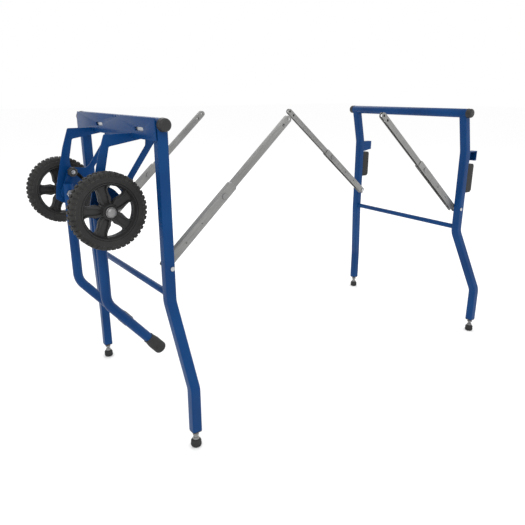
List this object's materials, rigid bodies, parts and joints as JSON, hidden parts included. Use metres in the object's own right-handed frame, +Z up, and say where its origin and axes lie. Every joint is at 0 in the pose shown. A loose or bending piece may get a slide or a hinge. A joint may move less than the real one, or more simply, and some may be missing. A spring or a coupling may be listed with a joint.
{
  "type": "folding leg and wheel set for a mitre saw",
  "caption": "Folding leg set for a mitre saw: a wheeled leg frame and a plain leg frame in bent square tube, folding stays, swinging prop tubes and screw feet.",
  "frame": {"origin": "on the floor, at the middle of the whole set's box, midway between front and rear feet", "axes": "+X from the wheeled frame to the plain frame, +Y from front to rear, +Z up"},
  "size_m": [1.3704, 0.615, 0.7847],
  "materials": {
    "blue_powder_coat": "satin powder coat",
    "zinc_plate": "dull zinc plating",
    "bright_steel": "machined and plated",
    "black_plastic": "moulded, fine grain",
    "black_rubber": "matt rubber",
    "tyre_rubber": "matt tread rubber"
  },
  "bodies": {
    "wheel_bracket": {"bracket_web": "blue_powder_coat", "bracket_plate_front": "blue_powder_coat", "bracket_plate_rear": "blue_powder_coat", "axle_bolts": "bright_steel", "axle_spacers": "zinc_plate", "axle_caps": "zinc_plate"},
    "wheel_front": {"wheel_rim_front": "black_plastic", "tyre_front": "tyre_rubber", "wheel_bush_front": "zinc_plate"},
    "prop_front": {"prop_tube_front": "blue_powder_coat", "prop_lug_front": "blue_powder_coat", "prop_tip_front": "black_rubber", "lock_bolt_front": "bright_steel"},
    "knob_front": {"lock_knob_front": "black_plastic"},
    "wheel_rear": {"wheel_rim_rear": "black_plastic", "tyre_rear": "tyre_rubber", "wheel_bush_rear": "zinc_plate"},
    "prop_rear": {"prop_tube_rear": "blue_powder_coat", "prop_lug_rear": "blue_powder_coat", "prop_tip_rear": "black_rubber", "lock_bolt_rear": "bright_steel"},
    "knob_rear": {"lock_knob_rear": "black_plastic"},
    "wheel_end_frame": {"wheel_end_top_tube": "blue_powder_coat", "wheel_end_leg_front": "blue_powder_coat", "wheel_end_leg_rear": "blue_powder_coat", "wheel_end_crossbar": "blue_powder_coat", "wheel_end_tube_caps": "black_plastic", "wheel_end_leg_inserts": "black_plastic", "wheel_end_stay_rivets": "bright_steel"},
    "wheel_front_lower_stay": {"wheel_front_lower_link": "zinc_plate", "wheel_front_knuckle_rivet": "bright_steel"},
    "wheel_front_upper_stay": {"wheel_front_upper_link": "zinc_plate"},
    "wheel_front_foot": {"wheel_front_foot_stud": "bright_steel", "wheel_front_foot_pad": "black_rubber"},
    "wheel_rear_lower_stay": {"wheel_rear_lower_link": "zinc_plate", "wheel_rear_knuckle_rivet": "bright_steel"},
    "wheel_rear_upper_stay": {"wheel_rear_upper_link": "zinc_plate"},
    "wheel_rear_foot": {"wheel_rear_foot_stud": "bright_steel", "wheel_rear_foot_pad": "black_rubber"},
    "plain_end_frame": {"plain_end_top_tube": "blue_powder_coat", "plain_end_leg_front": "blue_powder_coat", "plain_end_leg_rear": "blue_powder_coat", "plain_end_crossbar": "blue_powder_coat", "plain_end_tube_caps": "black_plastic", "plain_end_leg_inserts": "black_plastic", "plain_end_stay_rivets": "bright_steel", "leg_hooks": "blue_powder_coat", "leg_pads": "black_rubber"},
    "plain_front_lower_stay": {"plain_front_lower_link": "zinc_plate", "plain_front_knuckle_rivet": "bright_steel"},
    "plain_front_upper_stay": {"plain_front_upper_link": "zinc_plate"},
    "plain_front_foot": {"plain_front_foot_stud": "bright_steel", "plain_front_foot_pad": "black_rubber"},
    "plain_rear_lower_stay": {"plain_rear_lower_link": "zinc_plate", "plain_rear_knuckle_rivet": "bright_steel"},
    "plain_rear_upper_stay": {"plain_rear_upper_link": "zinc_plate"},
    "plain_rear_foot": {"plain_rear_foot_stud": "bright_steel", "plain_rear_foot_pad": "black_rubber"}
  },
  "joints": [
    {"name": "wheel_front_roll", "type": "hinge", "parent": "wheel_bracket", "child": "wheel_front", "pos_m": [-0.59825, -0.17, 0.586], "axis": [0, 1, 0], "continuous": true},
    {"name": "prop_front_swing", "type": "hinge", "parent": "wheel_bracket", "child": "prop_front", "pos_m": [-0.59825, -0.105, 0.586], "axis": [0, 1, 0], "range_deg": [0, 40]},
    {"name": "knob_front_turn", "type": "hinge", "parent": "prop_front", "child": "knob_front", "pos_m": [-0.58309, -0.105, 0.63887], "axis": [0, 1, 0], "continuous": true},
    {"name": "wheel_rear_roll", "type": "hinge", "parent": "wheel_bracket", "child": "wheel_rear", "pos_m": [-0.59825, 0.17, 0.586], "axis": [0, 1, 0], "continuous": true},
    {"name": "prop_rear_swing", "type": "hinge", "parent": "wheel_bracket", "child": "prop_rear", "pos_m": [-0.59825, 0.105, 0.586], "axis": [0, 1, 0], "range_deg": [0, 40]},
    {"name": "knob_rear_turn", "type": "hinge", "parent": "prop_rear", "child": "knob_rear", "pos_m": [-0.58309, 0.105, 0.63887], "axis": [0, 1, 0], "continuous": true},
    {"name": "wheel_end_fold", "type": "hinge", "parent": "wheel_bracket", "child": "wheel_end_frame", "pos_m": [-0.49525, 0, 0.77], "axis": [0, -1, 0], "range_deg": [0, 86]},
    {"name": "wheel_front_stay_foot", "type": "hinge", "parent": "wheel_end_frame", "child": "wheel_front_lower_stay", "pos_m": [-0.49025, -0.215, 0.453], "axis": [0, -1, 0], "range_deg": [0, 47.08]},
    {"name": "wheel_front_stay_knuckle", "type": "hinge", "parent": "wheel_front_lower_stay", "child": "wheel_front_upper_stay", "pos_m": [-0.32867, -0.215, 0.59688], "axis": [0, -1, 0], "range_deg": [-172.05, 0]},
    {"name": "wheel_front_foot_screw", "type": "slide", "parent": "wheel_end_frame", "child": "wheel_front_foot", "axis": [0, 0, 1], "range_m": [-0.012, 0]},
    {"name": "wheel_rear_stay_foot", "type": "hinge", "parent": "wheel_end_frame", "child": "wheel_rear_lower_stay", "pos_m": [-0.49025, 0.215, 0.453], "axis": [0, -1, 0], "range_deg": [0, 47.08]},
    {"name": "wheel_rear_stay_knuckle", "type": "hinge", "parent": "wheel_rear_lower_stay", "child": "wheel_rear_upper_stay", "pos_m": [-0.32867, 0.215, 0.59688], "axis": [0, -1, 0], "range_deg": [-172.05, 0]},
    {"name": "wheel_rear_foot_screw", "type": "slide", "parent": "wheel_end_frame", "child": "wheel_rear_foot", "axis": [0, 0, 1], "range_m": [-0.012, 0]},
    {"name": "plain_end_fold", "type": "hinge", "parent": "wheel_bracket", "child": "plain_end_frame", "pos_m": [0.57975, 0, 0.77], "axis": [0, 1, 0], "range_deg": [0, 86]},
    {"name": "plain_front_stay_foot", "type": "hinge", "parent": "plain_end_frame", "child": "plain_front_lower_stay", "pos_m": [0.60175, -0.215, 0.453], "axis": [0, 1, 0], "range_deg": [0, 44.4]},
    {"name": "plain_front_stay_knuckle", "type": "hinge", "parent": "plain_front_lower_stay", "child": "plain_front_upper_stay", "pos_m": [0.4269, -0.215, 0.59772], "axis": [0, 1, 0], "range_deg": [-172.05, 0]},
    {"name": "plain_front_foot_screw", "type": "slide", "parent": "plain_end_frame", "child": "plain_front_foot", "axis": [0, 0, 1], "range_m": [-0.012, 0]},
    {"name": "plain_rear_stay_foot", "type": "hinge", "parent": "plain_end_frame", "child": "plain_rear_lower_stay", "pos_m": [0.60175, 0.215, 0.453], "axis": [0, 1, 0], "range_deg": [0, 44.4]},
    {"name": "plain_rear_stay_knuckle", "type": "hinge", "parent": "plain_rear_lower_stay", "child": "plain_rear_upper_stay", "pos_m": [0.4269, 0.215, 0.59772], "axis": [0, 1, 0], "range_deg": [-172.05, 0]},
    {"name": "plain_rear_foot_screw", "type": "slide", "parent": "plain_end_frame", "child": "plain_rear_foot", "axis": [0, 0, 1], "range_m": [-0.012, 0]}
  ],
  "couplings": [
    {"joint": "wheel_front_stay_foot", "follows": "wheel_end_fold", "ratio": 0.54689},
    {"joint": "wheel_front_stay_knuckle", "follows": "wheel_end_fold", "ratio": -2},
    {"joint": "wheel_rear_stay_foot", "follows": "wheel_end_fold", "ratio": 0.54689},
    {"joint": "wheel_rear_stay_knuckle", "follows": "wheel_end_fold", "ratio": -2},
    {"joint": "plain_front_stay_foot", "follows": "plain_end_fold", "ratio": 0.51574},
    {"joint": "plain_front_stay_knuckle", "follows": "plain_end_fold", "ratio": -2},
    {"joint": "plain_rear_stay_foot", "follows": "plain_end_fold", "ratio": 0.51574},
    {"joint": "plain_rear_stay_knuckle", "follows": "plain_end_fold", "ratio": -2}
  ]
}
